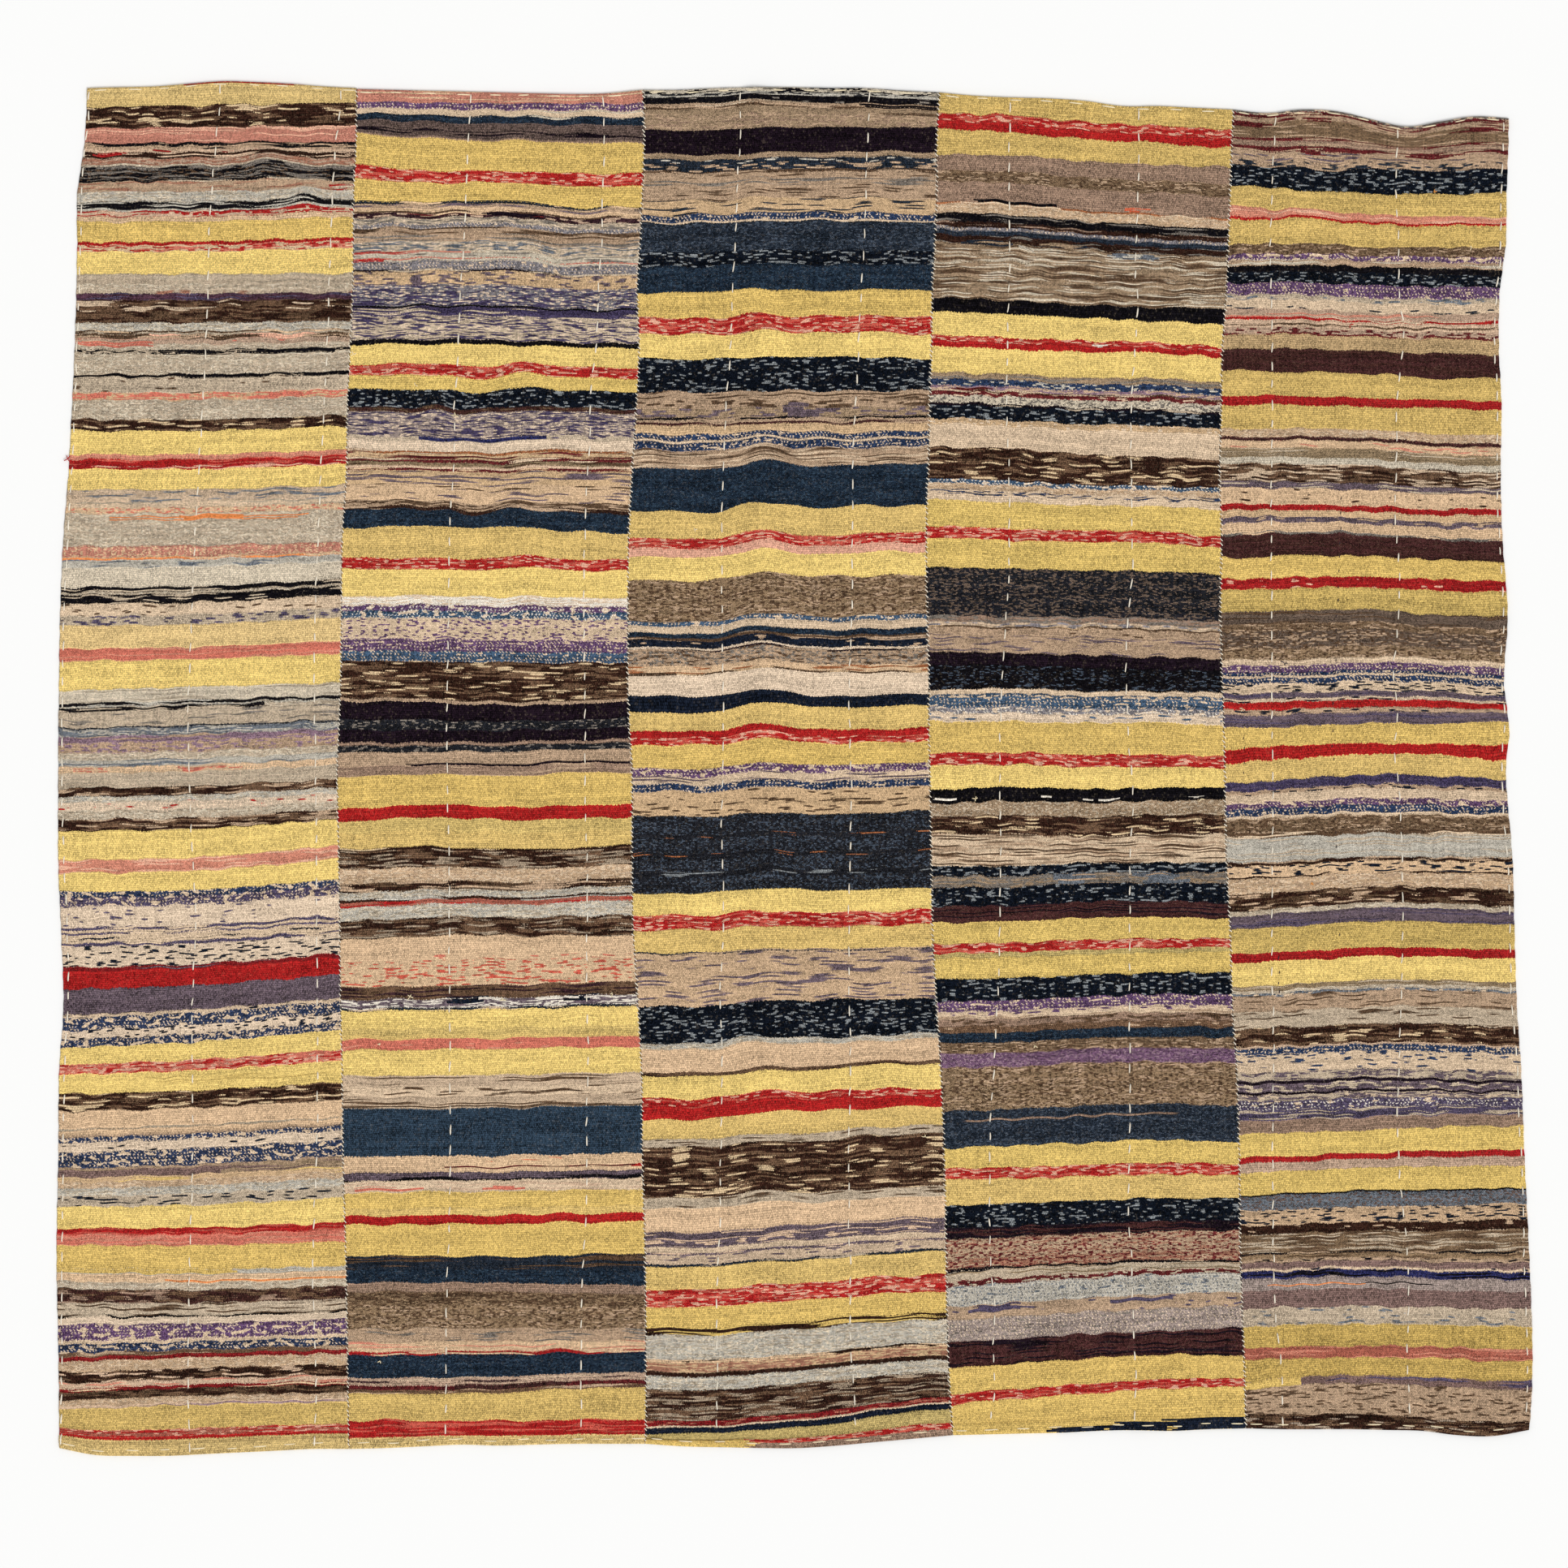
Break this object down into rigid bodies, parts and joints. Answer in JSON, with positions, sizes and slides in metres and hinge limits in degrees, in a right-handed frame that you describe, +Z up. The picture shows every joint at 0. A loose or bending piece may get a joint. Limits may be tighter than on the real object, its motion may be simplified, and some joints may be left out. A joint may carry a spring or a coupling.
{
  "type": "sakiori blanket",
  "caption": "Rag-woven cotton blanket of narrow cross-striped panels sewn selvedge to selvedge, hemmed at both ends, lying flat and gently rippled.",
  "frame": {"origin": "on the surface that the blanket lies on, under the middle of its bounding box", "axes": "+Z up out of the cloth's face, +X across the panels (weft), +Y along the warp towards the top hem"},
  "size_m": [1.7161, 1.5982, 0.0068],
  "materials": {
    "panel_1_cloth": "matt rag weave, cream warp, narrow cross stripes in buff, yellow and dark brown",
    "panel_2_cloth": "matt rag weave, cream warp, cross stripes in yellow, violet navy and brown",
    "panel_3_cloth": "matt rag weave, cream warp, broad cross stripes in navy, yellow and brown",
    "panel_4_cloth": "matt rag weave, cream warp, cross stripes in yellow, near black and taupe",
    "panel_5_cloth": "matt rag weave, cream warp, cross stripes in yellow, red and brown"
  },
  "bodies": {
    "root": {"panel_1": "panel_1_cloth", "panel_2": "panel_2_cloth", "panel_3": "panel_3_cloth", "panel_4": "panel_4_cloth", "panel_5": "panel_5_cloth"}
  },
  "joints": []
}
